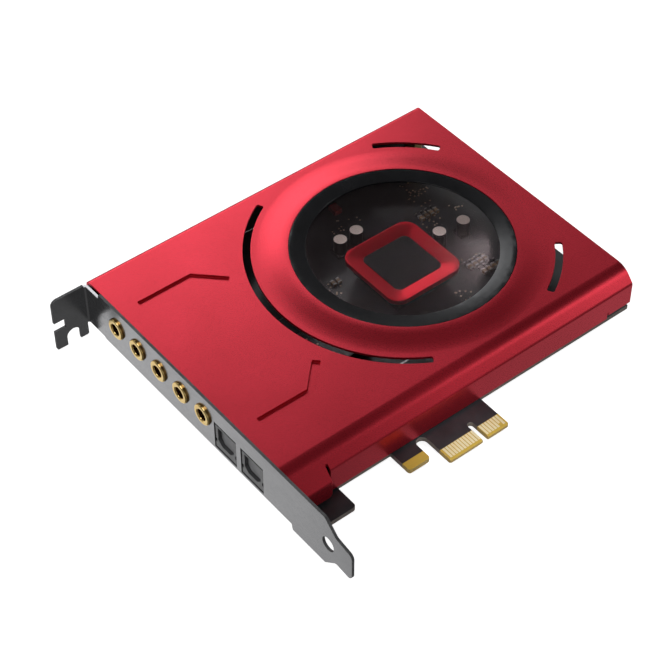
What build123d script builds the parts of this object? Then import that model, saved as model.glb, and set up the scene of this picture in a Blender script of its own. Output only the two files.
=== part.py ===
from build123d import *
import math
import os

# Expansion-slot sound card, all sizes in millimetres.
# Origin: centre of the key notch on the plug edge, half way through the board.
# +X runs along the board away from the bracket, +Y away from the plug edge, +Z is the component side.

# Board and plug edge
BOARD_T = 1.6
KEY_TO_BRACKET = 58.25
KEY_TO_END = 65.9
BOARD_FOOT = 12.2
BOARD_HEIGHT = 105.9
BOARD_GAP = 0.74
TONGUE_ROOT = 2.0
HEEL_START = 1.4
HEEL_END_X = -42.05
HEEL_Y = 3.8
HEEL_CORNER = 1.0
GUIDE_X = (-23.5, -16.05)
GUIDE_Y = 4.2
GUIDE_CORNER = 0.9
PLUG_X = (-12.55, 8.55)
PLUG_CORNER = 0.6
HOOK_SLOT_TOP = 11.4
KEY_WIDTH = 1.9
KEY_DEPTH = 7.1
BEVEL_LENGTH = 0.75
BEVEL_DEPTH = 0.3
CONTACT_PITCH = 1.0
CONTACT_WIDTH = 0.7
CONTACT_LENGTH = 3.7
CONTACT_SETBACK = 1.0
CONTACT_T = 0.08
CONTACTS_BEFORE_KEY = 11
CONTACTS_AFTER_KEY = 7

# Slot bracket
BRACKET_T = 0.86
BRACKET_LENGTH = 120.02
BRACKET_TIP_Y = -14.05
BRACKET_TOP_Z = 15.4
BRACKET_LOW_Z = -2.95
TAB_REACH = 11.43
TAB_Z = (-4.95, 14.1)
TAB_CORNER = 2.0
TAB_SLIT_Z = (2.26, 5.6)
TAB_SLIT_DEPTH = 3.7
NECK_Z = (-0.34, 13.7)
NECK_LENGTH = 7.0
BEND_R = 0.6
SCREW_NOTCH_WIDTH = 4.42
SCREW_NOTCH_X = 5.56
SCREW_NOTCH_TOP_Z = 0.25
SHOULDER_FROM_TIP = 10.85
WAIST_FROM_TIP = 6.45
WAIST_Z = (0.95, 11.1)
TIP_Z = (0.2, 9.9)
LOW_SHOULDER_R = 1.0
LOW_WAIST_R = 1.6
TIP_R = (1.6, 1.8)
HIGH_WAIST_R = 2.2
HIGH_SHOULDER_R = 1.4
STEP_R = 0.3
FOOT_HOLE_R = 2.35
FOOT_HOLE_FROM_TIP = 9.58
FOOT_HOLE_Z = 5.8
EAR_REACH = 9.5
EAR_UPPER_Y = (86.3, 96.6)
EAR_LOWER_Y = (11.4, 21.15)

# Jacks on the bracket
JACK_COUNT = 5
JACK_TOP_Y = 90.0
JACK_PITCH = 10.2
JACK_Z = 8.6
JACK_BORE_R = 1.8
JACK_END_WALL = 1.0
COLLAR_R = 3.3
COLLAR_CLEARANCE = 0.1
COLLAR_STANDS_OUT = 0.75
COLLAR_RIM = 0.25
COLLAR_SEAT = 1.5
JACK_BODY_WIDTH = 9.4
JACK_BODY_DEPTH = 13.4
JACK_BODY_TOP = 12.8
JACK_BODY_EDGE = 0.8
LEAF_WIDTH = 1.4
LEAF_T = 0.3

# Optical sockets and shutters
OPTIC_COUNT = 2
OPTIC_TOP_Y = 39.45
OPTIC_PITCH = 11.81
OPTIC_RECESS = 0.2
OPTIC_NOSE = 9.1
OPTIC_NOSE_Z = (0.4, 9.0)
OPTIC_SIDE_GAP = 0.35
OPTIC_TOP_GAP = 0.9
OPTIC_LOW_GAP = 0.45
LATCH_Z = (2.4, 3.7)
LATCH_DEPTH = 0.5
OPTIC_BODY_WIDTH = 9.7
OPTIC_BODY_TOP = 11.2
OPTIC_BODY_DEPTH = 12.8
OPTIC_BACK_WALL = 1.9
MOUTH_WIDTH = 6.9
MOUTH_Z = (2.1, 8.4)
MOUTH_CORNER = 1.5
MOUTH_DEPTH = 1.35
SHUTTER_T = 0.6
SHUTTER_LAP = 0.3
SHUTTER_CLEARANCE = 0.2
SHUTTER_SEAT = 0.05
PANEL_WIDTH = 4.4
PANEL_RISE = 0.15
HINGE_RISE = 0.7
HINGE_ROOM = 1.0
PIN_R = 0.4
PIN_REACH = 0.5
PIN_CLEARANCE = 0.05
BARREL_WALL = 0.15
COIL_WALL = 0.25
COIL_WIDTH = 1.8
EMITTER_SIZE = 5.0
EMITTER_FLANGE = 0.9
LENS_R = 0.9

# Cover
SHEET = 0.8
COVER_FRONT_GAP = 0.39
COVER_END_INSET = 0.25
COVER_TOP_Z = 14.5
COVER_FAR_Y = 106.6
COVER_BEND_R = 1.8
RIDGE_Y = 11.35
RIDGE_R = 1.4
BAND_WIDTH = 3.85
BAND_ANGLE = 48.0
BROW_R = 6.0
NEAR_STEP = 1.95
NEAR_LENGTH = 11.4
FLAP_LIFT = 0.5
FLAP_CORNER = 1.4
RELIEF_WIDTH = 0.9
RELIEF_RISE = 1.0
WALL_LIFT = 0.9
FAR_WALL_LIFT = 0.05
END_STEP_LENGTH = 9.1
END_STEP = 1.1
END_SLIT_WIDTH = 0.5
END_SLIT_RISE = 1.1
GROOVE_EDGES = (
    ((-50.9, 90.15), (-32.6, 90.1), (-24.55, 82.1)),
    ((-51.1, 34.75), (-34.2, 34.6), (-26.5, 42.2)),
)
GROOVE_WIDTH = 2.5
GROOVE_DEPTH = 0.8
GROOVE_CORNER = 0.4

# Window, bezel and badge
WINDOW_X = 21.42
WINDOW_Y = 60.78
WINDOW_R = 32.9
BOSS_WIDTH = 7.6
BOSS_RISE = 0.85
BOSS_LIP = 1.4
BEZEL_WIDTH = 5.0
BEZEL_SEAT = 0.35
BEZEL_CLEARANCE = 0.1
DISC_LAP = 2.1
DISC_T = 1.0
VENT_GAP = 3.24
VENT_WIDTH = 2.26
VENT_CORNER = 0.6
VENT_ANGLES = ((118.2, 240.6), (35.4, 61.7), (-62.7, -36.4))
BADGE_SIZE = 26.1
BADGE_CORNER = 4.4
BADGE_TOP_Z = 8.8
BADGE_T = 1.6
BADGE_RIM = 0.4
BADGE_DISH = 0.7
INSERT_SIZE = 17.1
INSERT_CORNER = 2.1
INSERT_T = 0.4
INSERT_SINK = 0.35
INSERT_CLEARANCE = 0.05
SPREADER_SIZE = 20.0
SPREADER_RIBS = 5
RIB_SLOT = 1.8
RIB_DEPTH = 3.0
PROCESSOR_SIZE = 14.0
PROCESSOR_T = 1.2

# Other parts on the board: places, then widths, depths and heights
CONVERTER_SPOT = (-14.0, 66.0)
CONVERTER_SIZE = (7.0, 7.0, 1.2)
AMPLIFIER_SPOTS = ((-28.0, 86.0), (-28.0, 76.0), (-28.0, 52.0), (-28.0, 42.0))
AMPLIFIER_SIZE = (5.0, 4.0, 1.5)
REGULATOR_SPOTS = ((2.0, 31.0), (13.0, 31.0))
REGULATOR_SIZE = (6.4, 6.0, 2.2)
RELAY_SPOT = (-19.0, 93.75)
RELAY_SIZE = (10.0, 7.5, 5.4)
LIGHT_SPOTS = ((24.8, 96.0), (-6.0, 58.0))
LIGHT_SIZE = (2.8, 3.5, 1.9)
CAN_BASE_T = 0.9
CAN_BASE_LIP = 0.1
SMALL_CAN_SPOTS = ((14.85, 81.15), (21.1, 81.35), (39.9, 65.5), (48.65, 64.8))
SMALL_CAN_R = 2.0
SMALL_CAN_TALL = 5.4
FILTER_CAN_SPOT = (-37.5, 46.0)
FILTER_CAN_COUNT = 4
FILTER_CAN_PITCH = 11.0
FILTER_CAN_R = 3.15
FILTER_CAN_TALL = 7.7
PAIR_SPOT = (4.7, 71.8)
PAIR_COUNT = 2
ROW_SPOTS = ((40.5, 52.0), (42.5, 48.0), (43.0, 77.0), (30.0, 38.5), (-20.0, 30.0))
ROW_COUNT = 4
ROW_PITCH = 1.9
CAPACITOR_SIZE = (1.2, 2.0, 1.0)
RESISTOR_SIZE = (0.8, 1.6, 0.5)
RESISTOR_ROW = (6.0, 25.6)
CRYSTAL_SPOT = (-8.0, 46.0)
CRYSTAL_SIZE = (10.2, 3.7, 3.0)
CRYSTAL_FLANGE = 0.5

# Fastenings
STANDOFF_SPOTS = ((-38.0, 99.0), (58.0, 99.0), (58.0, 22.5), (-33.0, 22.5))
STANDOFF_R = 2.9
NUT_R = 2.9
NUT_T = 2.2
SCREW_R = 1.25
SCREW_CLEARANCE = 0.2
THREAD_CLEARANCE = 0.05
SCREW_HEAD_R = 2.4
SCREW_HEAD_T = 1.5
SCREW_GRIP = 5.5
PILOT_GRIP = 3.0
CROSS_LENGTH = 2.6
CROSS_WIDTH = 0.56
JOINT_R = 0.95
JOINT_TIP_R = 0.4
JOINT_TALL = 1.1
JOINT_SIDES = 8
JACK_PINS = ((11.6, -3.2), (11.6, 3.2), (12.6, 0.0))
OPTIC_PINS = ((11.4, -2.54), (11.4, 0.0), (11.4, 2.54))

# Planes and edges that several pieces share, and the run-on of a cut past a face
OVER = 1.0
TOP_Z = BOARD_T / 2
FACE_X = -KEY_TO_BRACKET
BACK_X = FACE_X + BRACKET_T
BOARD_X = BACK_X + BOARD_GAP
TAB_TOP_Y = BRACKET_TIP_Y + BRACKET_LENGTH
EAR_LOW_Z = -TOP_Z - BRACKET_T
COVER_FRONT_X = BACK_X + COVER_FRONT_GAP
COVER_END_X = KEY_TO_END - COVER_END_INSET
COVER_UNDER_Z = COVER_TOP_Z - SHEET
BAND_TOP_Y = RIDGE_Y + BAND_WIDTH
BOSS_R = WINDOW_R + BOSS_WIDTH
BOSS_TOP_Z = COVER_TOP_Z + BOSS_RISE
LIP_UNDER_Z = BOSS_TOP_Z - SHEET
LIP_R = WINDOW_R + BOSS_LIP
BEZEL_R = WINDOW_R - BEZEL_WIDTH
DISC_R = BEZEL_R + DISC_LAP
DISC_TOP_Z = LIP_UNDER_Z - BEZEL_CLEARANCE
VENT_R = BOSS_R + VENT_GAP
PROCESSOR_TOP_Z = TOP_Z + PROCESSOR_T
JACK_SPOTS = [JACK_TOP_Y - JACK_PITCH * i for i in range(JACK_COUNT)]
OPTIC_SPOTS = [OPTIC_TOP_Y - OPTIC_PITCH * i for i in range(OPTIC_COUNT)]
EAR_MID_X = BACK_X + (EAR_REACH + BEND_R + BEND_R) / 2
EAR_SCREWS = [(EAR_MID_X, sum(ear) / 2) for ear in (EAR_UPPER_Y, EAR_LOWER_Y)]


def block(x, y, z):
    """Box between the low and high values given for each axis."""
    centre = Pos((x[0] + x[1]) / 2, (y[0] + y[1]) / 2, (z[0] + z[1]) / 2)
    return centre * Box(x[1] - x[0], y[1] - y[0], z[1] - z[0])


def around(middle, width):
    """Low and high value of a span about its middle."""
    return (middle - width / 2, middle + width / 2)


def patch(x, y):
    """Flat rectangle between the low and high values given."""
    return Pos((x[0] + x[1]) / 2, (y[0] + y[1]) / 2) * Rectangle(x[1] - x[0], y[1] - y[0])


def outline(points, radii):
    """Flat face inside a closed line of points, each corner rounded by its own radius."""
    return make_face(FilletPolyline(*points, radius=radii, close=True))


def upright(x, y, z0, z1, radius):
    """Round bar standing on z0 and ending at z1."""
    return Pos(x, y, (z0 + z1) / 2) * Cylinder(radius, z1 - z0)


def along_x(x0, x1, y, z, radius):
    """Round bar along X."""
    return Pos((x0 + x1) / 2, y, z) * Rot(0, 90, 0) * Cylinder(radius, x1 - x0)


def along_y(x, y0, y1, z, radius):
    """Round bar along Y."""
    return Pos(x, (y0 + y1) / 2, z) * Rot(90, 0, 0) * Cylinder(radius, y1 - y0)


def screw(x, y, head_z, end_z):
    """Pan-head screw driven upward, its head bearing at head_z and its shank ending at end_z."""
    crown_z = head_z - SCREW_HEAD_T
    head = Pos(x, y, (head_z + crown_z) / 2) * Cone(SCREW_HEAD_R * 0.75, SCREW_HEAD_R, SCREW_HEAD_T)
    cross_z = (crown_z - OVER, head_z - SCREW_HEAD_T / 2)
    cross = block(around(x, CROSS_LENGTH), around(y, CROSS_WIDTH), cross_z)
    cross += block(around(x, CROSS_WIDTH), around(y, CROSS_LENGTH), cross_z)
    return head + upright(x, y, head_z, end_z, SCREW_R) - cross


def tongue(x, low_y, corner):
    """Part of the board's outline that reaches below its foot, with two rounded corners."""
    root_y = BOARD_FOOT + TONGUE_ROOT
    points = ((x[0], root_y), (x[0], low_y), (x[1], low_y), (x[1], root_y))
    return outline(points, (0, corner, corner, 0))


def round_slot(x, top_y):
    """Slot that comes up from below the plug edge and ends in a half circle."""
    radius = (x[1] - x[0]) / 2
    slot = patch(x, (-OVER, top_y - radius))
    return slot + Pos((x[0] + x[1]) / 2, top_y - radius) * Circle(radius)


def make_board():
    flat = patch((BOARD_X, KEY_TO_END), (BOARD_FOOT, BOARD_HEIGHT))
    flat += tongue((BOARD_X + HEEL_START, HEEL_END_X), HEEL_Y, HEEL_CORNER)
    flat += tongue(GUIDE_X, GUIDE_Y, GUIDE_CORNER)
    flat += tongue(PLUG_X, 0, PLUG_CORNER)
    flat += patch((GUIDE_X[1] - OVER, PLUG_X[0] + OVER), (HOOK_SLOT_TOP - TONGUE_ROOT, BOARD_FOOT + OVER))
    flat -= round_slot((GUIDE_X[1], PLUG_X[0]), HOOK_SLOT_TOP)
    flat -= round_slot(around(0, KEY_WIDTH), KEY_DEPTH)
    for x, y in list(STANDOFF_SPOTS) + EAR_SCREWS:
        flat -= Pos(x, y) * Circle(SCREW_R + SCREW_CLEARANCE)
    board = extrude(flat, TOP_Z, both=True)
    bevel = BEVEL_DEPTH / BEVEL_LENGTH
    for side in (1, -1):
        wedge = Polyline(
            (-OVER, side * (TOP_Z - BEVEL_DEPTH - OVER * bevel)),
            (-OVER, side * (TOP_Z + OVER)),
            (BEVEL_LENGTH, side * (TOP_Z + OVER)),
            (BEVEL_LENGTH, side * TOP_Z),
            close=True,
        )
        wedge = Plane.YZ.offset(PLUG_X[0] - OVER) * make_face(wedge)
        board -= extrude(wedge, PLUG_X[1] - PLUG_X[0] + OVER + OVER)
    return board


def make_contacts():
    first = CONTACT_PITCH * 1.5
    spots = [-first - CONTACT_PITCH * i for i in range(CONTACTS_BEFORE_KEY)]
    spots += [first + CONTACT_PITCH * i for i in range(CONTACTS_AFTER_KEY)]
    presence = spots[-2]
    fingers = []
    for x in spots:
        low_y = BEVEL_LENGTH + (CONTACT_SETBACK if x == presence else 0)
        run = (low_y, BEVEL_LENGTH + CONTACT_LENGTH)
        for z in ((TOP_Z, TOP_Z + CONTACT_T), (-TOP_Z - CONTACT_T, -TOP_Z)):
            fingers.append(block(around(x, CONTACT_WIDTH), run, z))
    return fingers


def make_bracket():
    shoulder_y = BRACKET_TIP_Y + SHOULDER_FROM_TIP
    waist_y = BRACKET_TIP_Y + WAIST_FROM_TIP
    step_y = TAB_TOP_Y - NECK_LENGTH
    root_y = TAB_TOP_Y - BRACKET_T - BEND_R
    recess_z = -TOP_Z - BEND_R / 10
    points = (
        (root_y, NECK_Z[1]),
        (root_y, NECK_Z[0]),
        (EAR_UPPER_Y[1] + OVER, NECK_Z[0]),
        (EAR_UPPER_Y[1], recess_z),
        (EAR_LOWER_Y[0] - BEND_R, recess_z),
        (EAR_LOWER_Y[0] - OVER, BRACKET_LOW_Z),
        (shoulder_y, BRACKET_LOW_Z),
        (waist_y, WAIST_Z[0]),
        (BRACKET_TIP_Y, TIP_Z[0]),
        (BRACKET_TIP_Y, TIP_Z[1]),
        (waist_y, WAIST_Z[1]),
        (shoulder_y, BRACKET_TOP_Z),
        (step_y - BEND_R, BRACKET_TOP_Z),
        (step_y, NECK_Z[1]),
    )
    low_radii = (0, 0, 0, 0, 0, 0, LOW_SHOULDER_R, LOW_WAIST_R)
    high_radii = (*TIP_R, HIGH_WAIST_R, HIGH_SHOULDER_R, STEP_R, STEP_R)
    face = extrude(Plane.YZ.offset(FACE_X) * outline(points, low_radii + high_radii), BRACKET_T)

    tab_x = FACE_X - TAB_REACH
    under_y = TAB_TOP_Y - BRACKET_T
    points = (
        (FACE_X, step_y),
        (BACK_X, step_y),
        (BACK_X, TAB_TOP_Y),
        (tab_x, TAB_TOP_Y),
        (tab_x, under_y),
        (FACE_X, under_y),
    )
    fold = outline(points, (0, 0, BEND_R + BRACKET_T, 0, 0, BEND_R))
    fold = extrude(Pos(0, 0, TAB_Z[0] - OVER) * fold, TAB_Z[1] - TAB_Z[0] + OVER + OVER)
    flat_x = FACE_X - BEND_R
    notch_x = around(FACE_X - SCREW_NOTCH_X, SCREW_NOTCH_WIDTH)
    notch_r = SCREW_NOTCH_WIDTH / 2
    points = ((tab_x, TAB_Z[0]), (flat_x, TAB_Z[0]), (flat_x, TAB_Z[1]), (tab_x, TAB_Z[1]))
    blank = outline(points, (BEND_R, BEND_R, 0, TAB_CORNER))
    blank += patch((flat_x - OVER, BACK_X + OVER), NECK_Z)
    blank -= patch(notch_x, (TAB_Z[0] - OVER, SCREW_NOTCH_TOP_Z - notch_r))
    blank -= Pos(FACE_X - SCREW_NOTCH_X, SCREW_NOTCH_TOP_Z - notch_r) * Circle(notch_r)
    blank -= patch((tab_x - OVER, tab_x + TAB_SLIT_DEPTH), TAB_SLIT_Z)
    blank = extrude(Plane.XZ.offset(-TAB_TOP_Y - OVER) * blank, NECK_LENGTH + OVER + OVER)
    bracket = face + (fold & blank)

    points = (
        (FACE_X, TOP_Z),
        (FACE_X, EAR_LOW_Z),
        (BACK_X + EAR_REACH, EAR_LOW_Z),
        (BACK_X + EAR_REACH, -TOP_Z),
        (BACK_X, -TOP_Z),
        (BACK_X, TOP_Z),
    )
    ear_section = outline(points, (0, BEND_R + BRACKET_T, 0, 0, BEND_R, 0))
    for ear in (EAR_UPPER_Y, EAR_LOWER_Y):
        bracket += extrude(Plane.XZ.offset(-ear[1]) * ear_section, ear[1] - ear[0])
    for x, y in EAR_SCREWS:
        bracket -= upright(x, y, EAR_LOW_Z - OVER, -TOP_Z + BEND_R, SCREW_R + SCREW_CLEARANCE)
    through = (FACE_X - OVER, BACK_X + OVER)
    for y in JACK_SPOTS:
        bracket -= along_x(*through, y, JACK_Z, COLLAR_R + COLLAR_CLEARANCE)
    window_z = (OPTIC_NOSE_Z[0] - OPTIC_LOW_GAP, OPTIC_NOSE_Z[1] + OPTIC_TOP_GAP)
    for y in OPTIC_SPOTS:
        bracket -= block(through, around(y, OPTIC_NOSE + OPTIC_SIDE_GAP + OPTIC_SIDE_GAP), window_z)
    bracket -= along_x(*through, BRACKET_TIP_Y + FOOT_HOLE_FROM_TIP, FOOT_HOLE_Z, FOOT_HOLE_R)
    return bracket


def cover_section(ridge_y):
    """Outer cross-section of the cover, running on below the board so that it can be trimmed."""
    ridge_z = COVER_TOP_Z - (BAND_TOP_Y - ridge_y) * math.tan(math.radians(BAND_ANGLE))
    points = (
        (ridge_y, -COVER_TOP_Z),
        (ridge_y, ridge_z),
        (BAND_TOP_Y, COVER_TOP_Z),
        (COVER_FAR_Y, COVER_TOP_Z),
        (COVER_FAR_Y, -COVER_TOP_Z),
    )
    return outline(points, (0, RIDGE_R, BROW_R, COVER_BEND_R, 0))


def boss_cone(low_z, edge_z, top_z):
    """Solid under the round boss: straight to its rim, then rising to the flat lip."""
    points = ((0, low_z), (BOSS_R, low_z), (BOSS_R, edge_z), (LIP_R, top_z), (0, top_z))
    return Pos(WINDOW_X, WINDOW_Y, 0) * revolve(Plane.XZ * make_face(Polyline(*points, close=True)), Axis.Z)


def vent_outline(start, stop):
    """Arc-shaped slot about the window with small rounded corners."""
    arcs = [CenterArc((0, 0), radius, start, stop - start) for radius in (VENT_R, VENT_R + VENT_WIDTH)]
    ends = [Line(arcs[0] @ end, arcs[1] @ end) for end in (0, 1)]
    slot = make_face(arcs + ends)
    return fillet(slot.vertices(), VENT_CORNER)


def make_cover():
    near_x = COVER_FRONT_X + NEAR_LENGTH
    length = COVER_END_X - COVER_FRONT_X
    main = cover_section(RIDGE_Y)
    near = cover_section(RIDGE_Y - NEAR_STEP)
    front = Plane.YZ.offset(COVER_FRONT_X)
    before = Plane.YZ.offset(COVER_FRONT_X - OVER)
    shell = extrude(front * main, length) + extrude(front * near, NEAR_LENGTH)
    shell += boss_cone(COVER_UNDER_Z + SHEET / 2, COVER_TOP_Z, BOSS_TOP_Z)
    hollow = extrude(before * offset(main, -SHEET), length + OVER + OVER)
    hollow += extrude(before * offset(near, -SHEET), NEAR_LENGTH + OVER)
    hollow += boss_cone(COVER_UNDER_Z - OVER, COVER_UNDER_Z, LIP_UNDER_Z)
    cover = shell - hollow
    cover -= upright(WINDOW_X, WINDOW_Y, TOP_Z, BOSS_TOP_Z + OVER, WINDOW_R)

    wall_z = TOP_Z + WALL_LIFT
    flap_z = wall_z + FLAP_LIFT
    below = -COVER_TOP_Z - OVER
    all_x = (COVER_FRONT_X - OVER, COVER_END_X + OVER)
    cover -= block(all_x, (BAND_TOP_Y, COVER_FAR_Y + OVER), (below, TOP_Z + FAR_WALL_LIFT))
    cover -= block(all_x, (-OVER, BAND_TOP_Y), (below, wall_z))
    cover -= block((all_x[0], near_x), (-OVER, BAND_TOP_Y), (below, flap_z))
    step_x = COVER_END_X - END_STEP_LENGTH
    step_z = wall_z + END_STEP
    cover -= block((step_x, all_x[1]), (-OVER, BAND_TOP_Y), (below, step_z))
    cover -= block((step_x, step_x + END_SLIT_WIDTH), (-OVER, BAND_TOP_Y), (below, step_z + END_SLIT_RISE))
    slit_top = RIDGE_Y + RELIEF_RISE
    slit_x = (near_x, near_x + RELIEF_WIDTH)
    cover -= block(slit_x, (-OVER, slit_top), (below, COVER_TOP_Z))
    cover -= upright(near_x + RELIEF_WIDTH / 2, slit_top, below, COVER_TOP_Z, RELIEF_WIDTH / 2)
    corner = patch((near_x - FLAP_CORNER, near_x + OVER), (flap_z - OVER, flap_z + FLAP_CORNER))
    corner -= Pos(near_x - FLAP_CORNER, flap_z + FLAP_CORNER) * Circle(FLAP_CORNER)
    cover -= extrude(Plane.XZ.offset(-RIDGE_Y) * corner, RIDGE_Y)

    for start, stop in VENT_ANGLES:
        place = Pos(WINDOW_X, WINDOW_Y, COVER_UNDER_Z - OVER)
        cover -= extrude(place * vent_outline(start, stop), SHEET + OVER + OVER)
    for edge in GROOVE_EDGES:
        strip = make_face(Polyline(*edge).offset_2d(GROOVE_WIDTH, kind=Kind.INTERSECTION, side=Side.RIGHT))
        strip = fillet(strip.vertices(), GROOVE_CORNER)
        floor_z = COVER_TOP_Z - GROOVE_DEPTH
        bead = extrude(Pos(0, 0, floor_z - SHEET) * offset(strip, SHEET), SHEET + SHEET / 2)
        cover = cover + bead - extrude(Pos(0, 0, floor_z) * strip, GROOVE_DEPTH + OVER)
    return cover


def make_bezel():
    section = Polyline(
        (BEZEL_R, DISC_TOP_Z),
        (BEZEL_R, LIP_UNDER_Z + BEZEL_SEAT),
        (WINDOW_R - BEZEL_CLEARANCE, BOSS_TOP_Z - BEZEL_CLEARANCE),
        (WINDOW_R - BEZEL_CLEARANCE, LIP_UNDER_Z),
        (LIP_R - BEZEL_CLEARANCE, LIP_UNDER_Z),
        (LIP_R - BEZEL_CLEARANCE, DISC_TOP_Z - DISC_T),
        (DISC_R + BEZEL_CLEARANCE, DISC_TOP_Z - DISC_T),
        (DISC_R + BEZEL_CLEARANCE, DISC_TOP_Z),
        close=True,
    )
    return Pos(WINDOW_X, WINDOW_Y, 0) * revolve(Plane.XZ * make_face(section), Axis.Z)


def make_disc():
    """Clear flat disc, seated in the rebate under the bezel."""
    return Pos(WINDOW_X, WINDOW_Y, DISC_TOP_Z - DISC_T) * extrude(Circle(DISC_R), DISC_T)


def make_badge():
    under_z = BADGE_TOP_Z - BADGE_T
    floor_z = BADGE_TOP_Z - BADGE_DISH
    insert_z = floor_z - INSERT_SINK
    mouth_size = BADGE_SIZE - BADGE_RIM - BADGE_RIM
    recess_size = INSERT_SIZE + INSERT_CLEARANCE + INSERT_CLEARANCE
    recess = RectangleRounded(recess_size, recess_size, INSERT_CORNER + INSERT_CLEARANCE)
    mouth = RectangleRounded(mouth_size, mouth_size, BADGE_CORNER - BADGE_RIM)
    frame = extrude(Pos(0, 0, under_z) * RectangleRounded(BADGE_SIZE, BADGE_SIZE, BADGE_CORNER), BADGE_T)
    frame -= loft([Pos(0, 0, floor_z) * recess, Pos(0, 0, BADGE_TOP_Z) * mouth], ruled=True)
    frame -= extrude(Pos(0, 0, insert_z) * recess, INSERT_SINK + BADGE_DISH)
    insert = extrude(Pos(0, 0, insert_z) * RectangleRounded(INSERT_SIZE, INSERT_SIZE, INSERT_CORNER), INSERT_T)
    across = around(0, SPREADER_SIZE)
    spreader = block(across, across, (PROCESSOR_TOP_Z, under_z))
    slot_z = (PROCESSOR_TOP_Z + RIB_SLOT, under_z - OVER)
    for i in range(SPREADER_RIBS):
        x = (i - (SPREADER_RIBS - 1) / 2) * SPREADER_SIZE / SPREADER_RIBS
        for edge in across:
            spreader -= block(around(x, RIB_SLOT), around(edge, RIB_DEPTH + RIB_DEPTH), slot_z)
    centre = Pos(WINDOW_X, WINDOW_Y, 0)
    return centre * frame, centre * insert, centre * spreader


def plain_part(spot, size):
    """Square-edged part standing on the board."""
    return block(around(spot[0], size[0]), around(spot[1], size[1]), (TOP_Z, TOP_Z + size[2]))


def chip(spot, size):
    """Moulded chip package on the board, straight half way up and then drafted."""
    wide, deep, tall = size
    place = Pos(spot[0], spot[1], TOP_Z)
    middle = Pos(spot[0], spot[1], TOP_Z + tall / 2) * Rectangle(wide, deep)
    high = Pos(spot[0], spot[1], TOP_Z + tall) * Rectangle(wide - tall / 4, deep - tall / 4)
    return extrude(place * Rectangle(wide, deep), tall / 2) + loft([middle, high])


def can(spot, radius, tall):
    """Aluminium capacitor can on a moulded base with two cut corners."""
    half = radius + CAN_BASE_LIP
    cut = half / 2
    base = Polyline(
        (-half, -half),
        (half - cut, -half),
        (half, cut - half),
        (half, half - cut),
        (half - cut, half),
        (-half, half),
        close=True,
    )
    base = extrude(Pos(spot[0], spot[1], TOP_Z) * make_face(base), CAN_BASE_T)
    return base + upright(spot[0], spot[1], TOP_Z + CAN_BASE_T, TOP_Z + tall, radius)


def make_jack(y):
    seat_x = BACK_X + COLLAR_SEAT
    back_x = BACK_X + JACK_BODY_DEPTH
    bore_end = back_x - JACK_END_WALL
    bore_top = JACK_Z + JACK_BORE_R
    body = block((BACK_X, back_x), around(y, JACK_BODY_WIDTH), (TOP_Z, JACK_BODY_TOP))
    body = chamfer(body.edges().filter_by(Axis.X).group_by(Axis.Z)[-1], JACK_BODY_EDGE)
    body -= along_x(BACK_X - OVER, seat_x, y, JACK_Z, COLLAR_R + COLLAR_CLEARANCE / 2)
    body -= along_x(BACK_X - OVER, bore_end, y, JACK_Z, JACK_BORE_R)
    leaf_x = (seat_x + OVER, bore_end - OVER)
    leaf_z = bore_top + COLLAR_CLEARANCE
    pocket_z = (JACK_Z, leaf_z + LEAF_T * 3)
    body -= block((leaf_x[0] - LEAF_T, leaf_x[1]), around(y, LEAF_WIDTH + LEAF_T), pocket_z)
    leaf = block(leaf_x, around(y, LEAF_WIDTH), (leaf_z, leaf_z + LEAF_T))
    collar = along_x(FACE_X - COLLAR_STANDS_OUT, seat_x, y, JACK_Z, COLLAR_R)
    collar -= along_x(FACE_X - COLLAR_STANDS_OUT - OVER, seat_x + OVER, y, JACK_Z, JACK_BORE_R)
    front = collar.faces().sort_by(Axis.X)[0]
    collar = chamfer(front.edges(), COLLAR_RIM)
    return body, collar, leaf


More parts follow.
